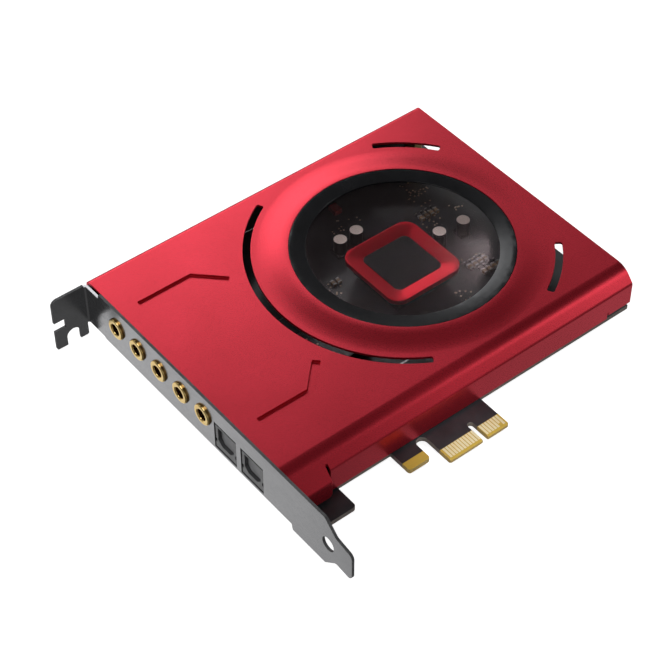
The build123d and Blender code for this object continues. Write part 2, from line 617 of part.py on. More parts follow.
def make_optic(y):
    nose_x = (FACE_X + OPTIC_RECESS, BOARD_X - COLLAR_CLEARANCE)
    back_x = BACK_X + OPTIC_BODY_DEPTH
    wall_x = FACE_X + MOUTH_DEPTH
    cavity_end = back_x - OPTIC_BACK_WALL
    hinge_z = MOUTH_Z[1] + HINGE_RISE
    roof_z = hinge_z + HINGE_ROOM
    eye_z = (MOUTH_Z[0] + MOUTH_Z[1]) / 2
    plate_width = MOUTH_WIDTH + SHUTTER_LAP + SHUTTER_LAP
    room = around(y, plate_width + SHUTTER_CLEARANCE + SHUTTER_CLEARANCE)
    plate_x = (wall_x + SHUTTER_SEAT, wall_x + SHUTTER_SEAT + SHUTTER_T)
    hinge_x = plate_x[1] + SHUTTER_CLEARANCE

    housing = block(nose_x, around(y, OPTIC_NOSE), OPTIC_NOSE_Z)
    for edge in around(y, OPTIC_NOSE):
        housing -= block((nose_x[0] - OVER, BACK_X), around(edge, LATCH_DEPTH + LATCH_DEPTH), LATCH_Z)
    body_x = (BACK_X + COLLAR_CLEARANCE, back_x)
    housing += block(body_x, around(y, OPTIC_BODY_WIDTH), (TOP_Z, OPTIC_BODY_TOP))
    left, right = around(y, MOUTH_WIDTH)
    mouth = Polyline(
        (left, MOUTH_Z[0] + MOUTH_CORNER),
        (left + MOUTH_CORNER, MOUTH_Z[0]),
        (right - MOUTH_CORNER, MOUTH_Z[0]),
        (right, MOUTH_Z[0] + MOUTH_CORNER),
        (right, MOUTH_Z[1]),
        (left, MOUTH_Z[1]),
        close=True,
    )
    housing -= extrude(Plane.YZ.offset(FACE_X) * make_face(mouth), MOUTH_DEPTH + SHUTTER_T)
    housing -= block((wall_x, cavity_end), room, (MOUTH_Z[0] - SHUTTER_LAP - SHUTTER_LAP, roof_z))
    pin_y = (room[0] - PIN_REACH, room[1] + PIN_REACH)
    housing -= along_y(hinge_x, *pin_y, hinge_z, PIN_R + PIN_CLEARANCE)
    eye_hole = EMITTER_SIZE + COLLAR_CLEARANCE + COLLAR_CLEARANCE
    housing -= block((cavity_end - OVER, back_x + OVER), around(y, eye_hole), around(eye_z, eye_hole))

    plate_y = around(y, plate_width)
    spring_y = around(y, COIL_WIDTH + SHUTTER_CLEARANCE * 3)
    coil_r = PIN_R + BARREL_WALL + COIL_WALL
    panel_z = (MOUTH_Z[0] + SHUTTER_LAP, hinge_z - coil_r - SHUTTER_LAP)
    shutter = block(plate_x, plate_y, (MOUTH_Z[0] - SHUTTER_LAP, hinge_z))
    shutter += block((plate_x[0] - PANEL_RISE, plate_x[1]), around(y, PANEL_WIDTH), panel_z)
    shutter -= block(
        (plate_x[0] - OVER, plate_x[1] + OVER), spring_y, (hinge_z - coil_r - PIN_CLEARANCE, hinge_z + OVER)
    )
    for low, high in ((plate_y[0], spring_y[0]), (spring_y[1], plate_y[1])):
        shutter += along_y(hinge_x, low, high, hinge_z, PIN_R + BARREL_WALL)
    pin_gap = PIN_CLEARANCE + PIN_CLEARANCE
    shutter += along_y(hinge_x, pin_y[0] + pin_gap, pin_y[1] - pin_gap, hinge_z, PIN_R)

    coil_y = around(y, COIL_WIDTH)
    coil = along_y(hinge_x, *coil_y, hinge_z, coil_r)
    coil += block(around(hinge_x, PIN_R), around(y, PIN_R), (hinge_z, roof_z))
    coil -= along_y(hinge_x, coil_y[0] - OVER, coil_y[1] + OVER, hinge_z, PIN_R + BARREL_WALL)

    flange = EMITTER_SIZE + EMITTER_FLANGE + EMITTER_FLANGE
    emitter = block((cavity_end, back_x), around(y, EMITTER_SIZE), around(eye_z, EMITTER_SIZE))
    emitter += block((back_x, back_x + EMITTER_FLANGE), around(y, flange), around(eye_z, flange))
    emitter += along_x(cavity_end - LENS_R, cavity_end, y, eye_z, LENS_R)
    return housing, shutter, coil, emitter


def make_joints():
    """Solder cones under the board below each jack and optical socket."""
    spots = [(BACK_X + x, row_y + y) for row_y in JACK_SPOTS for x, y in JACK_PINS]
    spots += [(BACK_X + x, row_y + y) for row_y in OPTIC_SPOTS for x, y in OPTIC_PINS]
    slope = math.atan((JOINT_R - JOINT_TIP_R) * math.cos(math.pi / JOINT_SIDES) / JOINT_TALL)
    cone = extrude(RegularPolygon(JOINT_R, JOINT_SIDES), JOINT_TALL, taper=math.degrees(slope))
    return [Plane((x, y, -TOP_Z), z_dir=(0, 0, -1)) * cone for x, y in spots]


def make_rows():
    """Rows of chip capacitors and chip resistors."""
    capacitors = [(PAIR_SPOT[0] + ROW_PITCH * i, PAIR_SPOT[1]) for i in range(PAIR_COUNT)]
    resistors = [(RESISTOR_ROW[0] + ROW_PITCH * i, RESISTOR_ROW[1]) for i in range(ROW_COUNT)]
    for x, y in ROW_SPOTS:
        capacitors += [(x + ROW_PITCH * i, y) for i in range(ROW_COUNT)]
        resistors += [(x + ROW_PITCH * i, y + CAPACITOR_SIZE[1]) for i in range(ROW_COUNT)]
    return (
        [plain_part(spot, CAPACITOR_SIZE) for spot in capacitors],
        [plain_part(spot, RESISTOR_SIZE) for spot in resistors],
    )


def make_crystal():
    wide, deep, tall = CRYSTAL_SIZE
    x, y = CRYSTAL_SPOT
    flange = SlotOverall(wide + CRYSTAL_FLANGE * 2, deep + CRYSTAL_FLANGE * 2)
    crystal = extrude(Pos(x, y, TOP_Z) * flange, CRYSTAL_FLANGE)
    return crystal + extrude(Pos(x, y, TOP_Z) * SlotOverall(wide, deep), tall + CRYSTAL_FLANGE)


nodes = {}
nodes["board"] = make_board()
nodes["edge_contacts"] = make_contacts()
nodes["bracket"] = make_bracket()
nodes["cover"] = make_cover()
nodes["window_bezel"] = make_bezel()
nodes["window_disc"] = make_disc()
nodes["badge_frame"], nodes["badge_insert"], nodes["heat_spreader"] = make_badge()
nodes["audio_processor"] = plain_part((WINDOW_X, WINDOW_Y), (PROCESSOR_SIZE, PROCESSOR_SIZE, PROCESSOR_T))
nodes["converter_chip"] = chip(CONVERTER_SPOT, CONVERTER_SIZE)
nodes["amplifier_chips"] = [chip(spot, AMPLIFIER_SIZE) for spot in AMPLIFIER_SPOTS]
filter_spots = [(FILTER_CAN_SPOT[0], FILTER_CAN_SPOT[1] + FILTER_CAN_PITCH * i) for i in range(FILTER_CAN_COUNT)]
nodes["electrolytic_cans"] = [can(spot, SMALL_CAN_R, SMALL_CAN_TALL) for spot in SMALL_CAN_SPOTS]
nodes["electrolytic_cans"] += [can(spot, FILTER_CAN_R, FILTER_CAN_TALL) for spot in filter_spots]
nodes["ceramic_capacitors"], nodes["chip_resistors"] = make_rows()
nodes["crystal"] = make_crystal()
nodes["voltage_regulators"] = [chip(spot, REGULATOR_SIZE) for spot in REGULATOR_SPOTS]
nodes["output_relay"] = plain_part(RELAY_SPOT, RELAY_SIZE)
nodes["indicator_lights"] = [plain_part(spot, LIGHT_SIZE) for spot in LIGHT_SPOTS]

nodes["jack_contacts"] = []
for number, spot in enumerate(JACK_SPOTS, 1):
    nodes[f"jack_body_{number}"], nodes[f"jack_collar_{number}"], leaf = make_jack(spot)
    nodes["jack_contacts"].append(leaf)
for number, spot in enumerate(OPTIC_SPOTS, 1):
    housing, shutter, coil, emitter = make_optic(spot)
    nodes[f"optical_housing_{number}"] = housing
    nodes[f"optical_shutter_{number}"] = shutter
    nodes[f"shutter_spring_{number}"] = coil
    nodes[f"optical_emitter_{number}"] = emitter
nodes["solder_joints"] = make_joints()

nodes["cover_standoffs"] = []
nodes["cover_screws"] = []
for x, y in STANDOFF_SPOTS:
    post = extrude(Pos(x, y, TOP_Z) * RegularPolygon(STANDOFF_R, 6), COVER_UNDER_Z - TOP_Z)
    post -= upright(x, y, TOP_Z - OVER, TOP_Z + SCREW_GRIP + OVER, SCREW_R + THREAD_CLEARANCE)
    nodes["cover_standoffs"].append(post)
    nodes["cover_screws"].append(screw(x, y, -TOP_Z, TOP_Z + SCREW_GRIP))

pilot_z = TOP_Z + PILOT_GRIP
nodes["bracket_screws"] = [screw(x, y, EAR_LOW_Z, pilot_z) for x, y in EAR_SCREWS]
upper, lower = EAR_SCREWS
nodes["jack_body_1"] -= upright(*upper, TOP_Z - OVER, pilot_z + OVER / 2, SCREW_R + THREAD_CLEARANCE)
nut = extrude(Pos(*lower, TOP_Z) * RegularPolygon(NUT_R, 6), NUT_T)
nodes["bracket_nut"] = nut - upright(*lower, TOP_Z - OVER, TOP_Z + NUT_T + OVER, SCREW_R + THREAD_CLEARANCE)

os.makedirs("parts", exist_ok=True)
for name, shape in nodes.items():
    solids = shape if isinstance(shape, list) else [shape]
    export_step(Compound(children=[Compound(s.solids()) for s in solids]), f"parts/{name}.step")
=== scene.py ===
import random
from math import copysign, cos, radians, sin

import bmesh
import bpy
from mathutils import Matrix, Quaternion, Vector


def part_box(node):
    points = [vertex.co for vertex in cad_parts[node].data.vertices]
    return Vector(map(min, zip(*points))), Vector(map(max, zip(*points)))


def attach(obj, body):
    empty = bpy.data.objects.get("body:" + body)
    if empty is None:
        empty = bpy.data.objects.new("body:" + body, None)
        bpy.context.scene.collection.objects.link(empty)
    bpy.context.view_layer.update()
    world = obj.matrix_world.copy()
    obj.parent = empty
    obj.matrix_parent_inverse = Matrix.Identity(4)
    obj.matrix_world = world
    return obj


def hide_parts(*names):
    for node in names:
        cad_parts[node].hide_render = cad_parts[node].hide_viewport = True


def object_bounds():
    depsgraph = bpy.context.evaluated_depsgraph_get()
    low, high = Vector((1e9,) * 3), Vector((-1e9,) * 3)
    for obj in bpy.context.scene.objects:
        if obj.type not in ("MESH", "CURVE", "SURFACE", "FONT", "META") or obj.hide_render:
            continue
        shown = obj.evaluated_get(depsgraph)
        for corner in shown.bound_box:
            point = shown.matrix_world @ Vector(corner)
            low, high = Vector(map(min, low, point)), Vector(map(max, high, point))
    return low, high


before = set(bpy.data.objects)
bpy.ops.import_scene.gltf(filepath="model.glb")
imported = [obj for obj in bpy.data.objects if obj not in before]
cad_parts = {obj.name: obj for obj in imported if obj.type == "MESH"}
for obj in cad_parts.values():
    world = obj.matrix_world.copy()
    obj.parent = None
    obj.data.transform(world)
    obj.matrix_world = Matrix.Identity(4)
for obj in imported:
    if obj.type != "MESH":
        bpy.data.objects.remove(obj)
cad_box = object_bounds()


# Circuit board
# A glass-fibre board under a black solder mask. The mask stops short of the plug and the guide
# tab, where the yellow laminate is bare, and the routed edges show the paler fibre inside.
MM = 0.001
CARD = "card"
WELD = 1e-7
FLAT_TURN = radians(0.05)
KEEN_TURN = radians(25)
SHARP_TURN = radians(40)
GRAIN_DEPTH = 0.02 * MM
BOARD_EDGE = 0.1 * MM
STEP_BLUR = 0.05 * MM
PLUG_BARE_Y = 4.55 * MM
GUIDE_BARE_Y = 7.25 * MM
PLUG_START_X = -14 * MM
GUIDE_START_X = -30 * MM
MASK_BLACK = (0.025, 0.026, 0.029)
MASK_SHEEN = (0.044, 0.046, 0.050)
LAMINATE = (0.70, 0.47, 0.08)
CUT_FIBRE = (0.17, 0.145, 0.13)
CUT_PALE = (0.26, 0.225, 0.20)
CUT_LAMINATE = (0.50, 0.36, 0.12)


def shader_of(finish):
    return finish.node_tree.nodes["Principled BSDF"]


def new_finish(name, values):
    """Material with one Principled shader whose plain values are set on its own sockets."""
    finish = bpy.data.materials.new(name)
    finish.use_nodes = True
    shader = shader_of(finish)
    for socket, value in values.items():
        shader.inputs[socket].default_value = value
    return finish


def add_node(finish, kind, values=None, **settings):
    """Shader node with its settings and unlinked input values filled in."""
    node = finish.node_tree.nodes.new(kind)
    for key, value in settings.items():
        setattr(node, key, value)
    for socket, value in (values or {}).items():
        node.inputs[socket].default_value = value
    return node


def join(finish, source, target):
    """Link from an output socket to an input socket."""
    finish.node_tree.links.new(source, target)


def grain_group():
    """Cloud is a soft mottle and Grain a fine speckle, both from 0 to 1."""
    group = bpy.data.node_groups.new("surface_grain", "ShaderNodeTree")
    sockets = group.interface
    sockets.new_socket("Vector", in_out="INPUT", socket_type="NodeSocketVector")
    sockets.new_socket("Cloud Scale", in_out="INPUT", socket_type="NodeSocketFloat")
    sockets.new_socket("Grain Scale", in_out="INPUT", socket_type="NodeSocketFloat")
    sockets.new_socket("Cloud", in_out="OUTPUT", socket_type="NodeSocketFloat")
    sockets.new_socket("Grain", in_out="OUTPUT", socket_type="NodeSocketFloat")
    start = group.nodes.new("NodeGroupInput")
    end = group.nodes.new("NodeGroupOutput")
    for name, detail in (("Cloud", 3.0), ("Grain", 2.0)):
        noise = group.nodes.new("ShaderNodeTexNoise")
        noise.inputs["Detail"].default_value = detail
        group.links.new(start.outputs["Vector"], noise.inputs["Vector"])
        group.links.new(start.outputs[name + " Scale"], noise.inputs["Scale"])
        spread = group.nodes.new("ShaderNodeMapRange")
        spread.inputs["From Min"].default_value = 0.3
        spread.inputs["From Max"].default_value = 0.7
        group.links.new(noise.outputs["Fac"], spread.inputs["Value"])
        group.links.new(spread.outputs["Result"], end.inputs[name])
    return group


GRAIN = grain_group()


def add_grain(finish, cloud, grain, stretch=(1, 1, 1)):
    """Places the grain group on Object coordinates, stretched along the axes asked for."""
    place = add_node(finish, "ShaderNodeTexCoord")
    mapping = add_node(finish, "ShaderNodeMapping", {"Scale": stretch})
    node = add_node(finish, "ShaderNodeGroup")
    node.node_tree = GRAIN
    node.inputs["Cloud Scale"].default_value = cloud
    node.inputs["Grain Scale"].default_value = grain
    join(finish, place.outputs["Object"], mapping.inputs["Vector"])
    join(finish, mapping.outputs["Vector"], node.inputs["Vector"])
    return node


def mix_colour(finish, factor, low, high):
    """Base Color that goes from low to high; each is a plain colour or another mix."""
    mix = add_node(finish, "ShaderNodeMix", data_type="RGBA")
    for socket, colour in (("A", low), ("B", high)):
        if isinstance(colour, tuple):
            mix.inputs[socket].default_value = (*colour, 1)
        else:
            join(finish, colour, mix.inputs[socket])
    join(finish, factor, mix.inputs["Factor"])
    join(finish, mix.outputs["Result"], shader_of(finish).inputs["Base Color"])
    return mix.outputs["Result"]


def vary_roughness(finish, factor, low, high):
    spread = add_node(finish, "ShaderNodeMapRange", {"To Min": low, "To Max": high})
    join(finish, factor, spread.inputs["Value"])
    join(finish, spread.outputs["Result"], shader_of(finish).inputs["Roughness"])


def add_bump(finish, height, strength, depth=GRAIN_DEPTH):
    bump = add_node(finish, "ShaderNodeBump", {"Strength": strength, "Distance": depth})
    join(finish, height, bump.inputs["Height"])
    join(finish, bump.outputs["Normal"], shader_of(finish).inputs["Normal"])


def combine(finish, operation, first, second):
    """Two values put together by one operation and kept from 0 to 1."""
    node = add_node(finish, "ShaderNodeMath", operation=operation, use_clamp=True)
    join(finish, first, node.inputs[0])
    join(finish, second, node.inputs[1])
    return node.outputs["Value"]


def step_at(finish, axis, limit, before, after, blur=STEP_BLUR):
    """Value that steps from before to after where the object coordinate on an axis passes a limit."""
    place = add_node(finish, "ShaderNodeTexCoord")
    split = add_node(finish, "ShaderNodeSeparateXYZ")
    step = add_node(finish, "ShaderNodeMapRange", {"From Min": limit - blur, "From Max": limit + blur,
                                                   "To Min": before, "To Max": after})
    join(finish, place.outputs["Object"], split.inputs["Vector"])
    join(finish, split.outputs[axis], step.inputs["Value"])
    return step.outputs["Result"]


def board_face(name, covered, lighter, bare, scales, bump, values):
    """Finish with one colour under the mask and another on the plug and the guide tab."""
    finish = new_finish(name, values)
    grain = add_grain(finish, *scales)
    colour = mix_colour(finish, grain.outputs["Cloud"], covered, lighter)
    on_plug = combine(finish, "MULTIPLY", step_at(finish, "Y", PLUG_BARE_Y, 1, 0),
                      step_at(finish, "X", PLUG_START_X, 0, 1))
    below_mask = combine(finish, "MULTIPLY", step_at(finish, "Y", GUIDE_BARE_Y, 1, 0),
                         step_at(finish, "X", PLUG_START_X, 1, 0))
    on_guide = combine(finish, "MULTIPLY", below_mask, step_at(finish, "X", GUIDE_START_X, 0, 1))
    mix_colour(finish, combine(finish, "ADD", on_plug, on_guide), colour, bare)
    add_bump(finish, grain.outputs["Grain"], bump)
    return finish


def merged_copy(node):
    """Copy of a solid's mesh with its doubles merged and its flat faces joined."""
    shape = bmesh.new()
    shape.from_mesh(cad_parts[node].data)
    bmesh.ops.remove_doubles(shape, verts=shape.verts, dist=WELD)
    bmesh.ops.dissolve_limit(shape, angle_limit=FLAT_TURN, verts=shape.verts, edges=shape.edges)
    shape.normal_update()
    for face in shape.faces:
        face.material_index = 0
    return shape


def round_edges(shape, edges, radius, segments=2, clamp=True):
    bmesh.ops.bevel(shape, geom=edges, offset=radius, segments=segments, profile=0.5,
                    affect="EDGES", material=-1, clamp_overlap=clamp)


def round_keen(shape, radius):
    """Rounds every edge that turns by more than a keen angle."""
    edges = [edge for edge in shape.edges if edge.is_manifold and edge.calc_face_angle() > KEEN_TURN]
    round_edges(shape, edges, radius)


def rounded_copy(node, radius, second=None):
    """Merged copy of a solid with rounded edges; faces that pass a test get the second finish."""
    shape = merged_copy(node)
    for face in shape.faces:
        if second and second(face):
            face.material_index = 1
    round_keen(shape, radius)
    return shape


def make_piece(name, shape, finishes, replaced=(), body=CARD):
    """Finishes a bmesh as a smooth-shaded piece that rides on a body."""
    mesh = bpy.data.meshes.new(name)
    shape.to_mesh(mesh)
    shape.free()
    mesh.polygons.foreach_set("use_smooth", [True] * len(mesh.polygons))
    mesh.set_sharp_from_angle(angle=SHARP_TURN)
    for finish in finishes:
        mesh.materials.append(finish)
    piece = bpy.data.objects.new(name, mesh)
    bpy.context.scene.collection.objects.link(piece)
    even = piece.modifiers.new("even_normals", "WEIGHTED_NORMAL")
    even.keep_sharp = True
    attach(piece, body)
    if replaced:
        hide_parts(*replaced)


def is_routed(face):
    """True for a face on the edge of the board."""
    return abs(face.normal.z) < 0.5


board_finish = board_face("black_solder_mask", MASK_BLACK, MASK_SHEEN, LAMINATE, scales=(160, 2600),
                          bump=0.15, values={"Roughness": 0.32, "Coat Weight": 0.2, "Coat Roughness": 0.25})
fibre_finish = board_face("cut_fibre", CUT_FIBRE, CUT_PALE, CUT_LAMINATE, scales=(400, 3000), bump=0.4,
                          values={"Roughness": 0.7})
board = rounded_copy("board", BOARD_EDGE, is_routed)
make_piece("board", board, [board_finish, fibre_finish], ["board"])


# Tracks and vias
# Copper etched on both faces of the board and covered by the mask, so that each track is a low
# ridge, and plated holes that carry the copper from one face to the other.
BOARD_LOW, BOARD_HIGH = (corner.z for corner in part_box("board"))
TRACK_WIDTH = 0.35 * MM
TRACK_PITCH = 0.8 * MM
TRACK_RISE = 0.04 * MM
VIA_RADIUS = 0.3 * MM
VIA_RISE = 0.05 * MM
VIA_SIDES = 8
# Each route is its start, its end (both in mm) and its number of tracks.
TOP_ROUTES = (
    ((-24, 84), (-17.5, 68), 4), ((-24, 52), (-17, 64), 4), ((-10, 63), (14, 58), 6),
    ((15, 53), (-8, 13), 6), ((47, 54), (29, 60), 5), ((49, 86), (30, 69), 5),
    ((22, 84), (18, 69), 5), ((60, 40), (29, 55), 5), ((-42, 88), (-31, 85), 3),
    ((-42, 48), (-31, 42), 3), ((4, 35), (16, 53), 4), ((62, 90), (52, 74), 4),
)
UNDER_ROUTES = (
    ((-40, 90), (10, 64), 6), ((-40, 56), (10, 58), 6), ((2, 8), (20, 50), 6), ((56, 84), (30, 66), 6),
    ((58, 36), (30, 54), 6), ((-44, 30), (-8, 40), 5), ((-22, 14), (-6, 44), 4), ((14, 100), (20, 70), 5),
)
# Each group is its middle and its spread (both in mm) and its number of vias.
VIA_GROUPS = (
    ((49, 87), 4.5, 26), ((44.5, 75.5), 3.0, 18), ((55, 74), 2.5, 8), ((44, 53), 3.0, 16),
    ((32, 45), 3.0, 10), ((4.5, 70), 2.5, 8), ((-14, 55), 9.0, 40), ((0, 22), 7.0, 26), ((24, 88), 5.0, 16),
)


def plain_grain(name, low, high, rough, scales, values=None, bump=0.0, stretch=(1, 1, 1)):
    """Finish that is mottled between two colours, with a speckled roughness and a fine bump."""
    finish = new_finish(name, values or {})
    grain = add_grain(finish, *scales, stretch)
    mix_colour(finish, grain.outputs["Cloud"], low, high)
    vary_roughness(finish, grain.outputs["Grain"], *rough)
    if bump:
        add_bump(finish, grain.outputs["Grain"], bump)
    return finish


def add_strip(shape, points, across, thickness):
    """Bent strip: a line through a few points, widened sideways and thickened."""
    verts = [shape.verts.new(point) for point in points]
    line = [shape.edges.new(pair) for pair in zip(verts, verts[1:])]
    wide = bmesh.ops.extrude_edge_only(shape, edges=line)["geom"]
    bmesh.ops.translate(shape, vec=across, verts=[g for g in wide if isinstance(g, bmesh.types.BMVert)])
    faces = [g for g in wide if isinstance(g, bmesh.types.BMFace)]
    bmesh.ops.recalc_face_normals(shape, faces=faces)
    bmesh.ops.solidify(shape, geom=faces, thickness=thickness)


def add_route(shape, start, end, count, height):
    """Side-by-side tracks, each a straight run, a diagonal and another straight run."""
    start = Vector((*start, 0)) * MM
    end = Vector((*end, 0)) * MM
    run = end - start
    along, aside = (0, 1) if abs(run.x) > abs(run.y) else (1, 0)
    lead = Vector()
    lead[along] = (run[along] - copysign(abs(run[aside]), run[along])) / 2
    across = Vector()
    across[aside] = 1
    for number in range(count):
        shift = across * TRACK_PITCH * number + Vector((0, 0, height))
        points = [start + shift, start + lead + shift, end - lead + shift, end + shift]
        add_strip(shape, points, across * TRACK_WIDTH, 2 * TRACK_RISE)


tracks = bmesh.new()
for start, end, count in TOP_ROUTES:
    add_route(tracks, start, end, count, BOARD_HIGH + TRACK_RISE)
for start, end, count in UNDER_ROUTES:
    add_route(tracks, start, end, count, BOARD_LOW - TRACK_RISE)
bmesh.ops.recalc_face_normals(tracks, faces=tracks.faces)
track_finish = plain_grain("masked_copper", low=(0.022, 0.019, 0.017), high=(0.046, 0.040, 0.036),
                           rough=(0.26, 0.36), scales=(300, 2600),
                           values={"Coat Weight": 0.3, "Coat Roughness": 0.2})
make_piece("board_tracks", tracks, [track_finish])

draw = random.Random(5)
vias = bmesh.new()
for (x, y), spread, count in VIA_GROUPS:
    for _ in range(count):
        place = Vector((draw.gauss(x, spread / 2), draw.gauss(y, spread / 2), 0)) * MM
        bmesh.ops.create_cone(vias, cap_ends=True, segments=VIA_SIDES, radius1=VIA_RADIUS,
                              radius2=VIA_RADIUS, depth=BOARD_HIGH - BOARD_LOW + 2 * VIA_RISE,
                              matrix=Matrix.Translation(place))
via_finish = plain_grain("plated_hole", low=(0.40, 0.30, 0.22), high=(0.62, 0.50, 0.40), rough=(0.3, 0.5),
                         scales=(500, 3000), values={"Metallic": 0.8})
make_piece("board_vias", vias, [via_finish])


# Plug contacts
# Gold-plated copper fingers on both sides of the plug edge, etched from the board's own copper
# and left free of the mask.
def dress_node(node, finish):
    """Gives a solid of the frame a better material in its own slots."""
    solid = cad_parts[node]
    for slot in solid.material_slots:
        slot.material = finish


finger_finish = plain_grain("finger_gold", low=(1.0, 0.85, 0.50), high=(1.0, 0.92, 0.62), rough=(0.42, 0.52),
                            scales=(300, 3000), values={"Metallic": 0.1})
dress_node("edge_contacts", finger_finish)


# Audio jacks
# Five moulded jack bodies soldered in a row behind the bracket. A turned and gold-plated collar
# sits in each one and stands a little proud of the bracket. The collar's sides behind its bright
# front rim are painted a darker brown gold, as painted shade.
JACKS = range(1, 6)
JACK_EDGE = 0.12 * MM
COLLAR_EDGE = 0.15 * MM
COLLAR_RIM = 0.4 * MM
RIM_BLUR = 0.1 * MM
RIM_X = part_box("jack_collar_1")[0].x + COLLAR_RIM
RIM_DEEP = (1.0, 0.67, 0.23)
RIM_PALE = (1.0, 0.75, 0.31)
COLLAR_SIDE_SHADE = (0.68, 0.38, 0.11)

plastic_finish = plain_grain("black_moulding", low=(0.016, 0.015, 0.015), high=(0.030, 0.029, 0.029),
                             rough=(0.42, 0.58), scales=(200, 4200), bump=0.25)
gold_finish = new_finish("gold_plate", {"Metallic": 1.0})
gold_grain = add_grain(gold_finish, cloud=300, grain=3000)
rim_gold = mix_colour(gold_finish, gold_grain.outputs["Cloud"], RIM_DEEP, RIM_PALE)
# Behind its front rim the collar is painted a darker brown gold: painted shade on its sides.
mix_colour(gold_finish, step_at(gold_finish, "X", RIM_X, 0, 1, RIM_BLUR), rim_gold, COLLAR_SIDE_SHADE)
vary_roughness(gold_finish, gold_grain.outputs["Grain"], 0.16, 0.24)
for number in JACKS:
    body = rounded_copy(f"jack_body_{number}", JACK_EDGE)
    make_piece(f"jack_body_{number}", body, [plastic_finish], [f"jack_body_{number}"])
    collar = rounded_copy(f"jack_collar_{number}", COLLAR_EDGE)
    make_piece(f"jack_collar_{number}", collar, [gold_finish], [f"jack_collar_{number}"])
dress_node("jack_contacts", gold_finish)


# Optical sockets
# Two moulded sockets, each closed by a grey shutter that a small spring holds shut. A plug pushes
# the shutter in and up against the roof of the socket.
SOCKETS = (1, 2)
SOCKET_EDGE = 0.12 * MM
SHUTTER_EDGE = 0.06 * MM
NOSE_FACE = 0.15 * MM
NOSE_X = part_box("optical_housing_1")[0].x + NOSE_FACE


def is_nose(face):
    """True for a front face of a socket, which shows in the bracket's opening."""
    return face.normal.x < -0.9 and face.calc_center_median().x < NOSE_X


# The housing is near black everywhere but its grey front face: painted shade for the gap round it in the
# bracket's opening.
socket_shade_finish = plain_grain("socket_painted_shade", low=(0.07, 0.07, 0.072), high=(0.10, 0.10, 0.103),
                            rough=(0.45, 0.6), scales=(260, 5200), bump=0.2)
nose_finish = plain_grain("grey_nose", low=(0.34, 0.34, 0.345), high=(0.42, 0.42, 0.425), rough=(0.5, 0.62),
                          scales=(260, 5200), bump=0.2)
shutter_finish = plain_grain("grey_moulding", low=(0.40, 0.40, 0.41), high=(0.50, 0.50, 0.51),
                             rough=(0.45, 0.6), scales=(260, 5200), bump=0.2)
spring_finish = plain_grain("spring_wire", low=(0.36, 0.36, 0.37), high=(0.55, 0.55, 0.56),
                            rough=(0.25, 0.4), scales=(400, 3000), values={"Metallic": 1.0},
                            stretch=(1, 6, 1))
for number in SOCKETS:
    housing = rounded_copy(f"optical_housing_{number}", SOCKET_EDGE, is_nose)
    make_piece(f"optical_housing_{number}", housing, [socket_shade_finish, nose_finish],
               [f"optical_housing_{number}"])
    shutter = rounded_copy(f"optical_shutter_{number}", SHUTTER_EDGE)
    make_piece(f"optical_shutter_{number}", shutter, [shutter_finish],
               [f"optical_shutter_{number}"], f"shutter_{number}")
    dress_node(f"shutter_spring_{number}", spring_finish)
    dress_node(f"optical_emitter_{number}", plastic_finish)


# Slot bracket
# One blank of thin steel with its screw tab and two ears folded over, then nickel plated. The ears
# are screwed to the underside of the board, and the sheared edges are duller than the faces.
BRACKET_SHEET = 0.86 * MM
BRACKET_EDGE = 0.1 * MM
PLATE_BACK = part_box("jack_body_1")[0].x
TAB_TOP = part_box("bracket")[1].y
SHEET_TOPS = (PLATE_BACK, TAB_TOP, BOARD_LOW)


def is_sheared(face):
    """True for a face that crosses the thickness of the plate, the tab or an ear."""
    middle = face.calc_center_median()
    for axis, top in enumerate(SHEET_TOPS):
        reach = [vert.co[axis] for vert in face.verts]
        across = abs(face.normal[axis]) < 0.3 and max(reach) - min(reach) < 1.02 * BRACKET_SHEET
        if across and top - BRACKET_SHEET < middle[axis] < top:
            return True
    return False


nickel_finish = plain_grain("nickel_plate", low=(0.42, 0.42, 0.43), high=(0.47, 0.47, 0.48),
                            rough=(0.20, 0.27), scales=(60, 1400), values={"Metallic": 1.0}, bump=0.02,
                            stretch=(1, 0.6, 1.6))
sheared_finish = plain_grain("sheared_steel", low=(0.09, 0.09, 0.092), high=(0.15, 0.15, 0.153),
                             rough=(0.5, 0.65), scales=(400, 2400), values={"Metallic": 0.5}, bump=0.15,
                             stretch=(1, 1, 3))
bracket = rounded_copy("bracket", BRACKET_EDGE, is_sheared)
make_piece("bracket", bracket, [nickel_finish, sheared_finish], ["bracket"])


# Screws, nut and standoffs
# Pan-head screws hold the board to the bracket's ears and, from below, to the brass standoffs
# that carry the cover.
SCREW_EDGE = 0.06 * MM

brass_finish = plain_grain("turned_brass", low=(0.50, 0.36, 0.15), high=(0.66, 0.50, 0.24),
                           rough=(0.28, 0.42), scales=(150, 2000), values={"Metallic": 1.0},
                           stretch=(1, 1, 8))
for node in ("cover_screws", "bracket_screws"):
    make_piece(node, rounded_copy(node, SCREW_EDGE), [nickel_finish], [node])
for node in ("cover_standoffs", "bracket_nut"):
    make_piece(node, rounded_copy(node, SCREW_EDGE), [brass_finish], [node])


# Chips
# Moulded resin packages with tinned leads. The amplifiers have four leads on two sides, the
# converter has twelve on each side, and a regulator has two leads and a heat tab.
CHIP_EDGE = 0.1 * MM
AMPLIFIER_LEADS = 4
AMPLIFIER_PITCH = 1.27 * MM
AMPLIFIER_LEAD = 0.42 * MM
CONVERTER_LEADS = 12
CONVERTER_PITCH = 0.5 * MM
CONVERTER_LEAD = 0.22 * MM
REGULATOR_LEADS = 2
REGULATOR_PITCH = 4.5 * MM
REGULATOR_LEAD = 0.8 * MM
LEAD_REACH = 1.05 * MM
LEAD_SHEET = 0.16 * MM
HEAT_TAB = Vector((5.2, 1.5, 0.5)) * MM
TAB_OVERLAP = 0.1 * MM


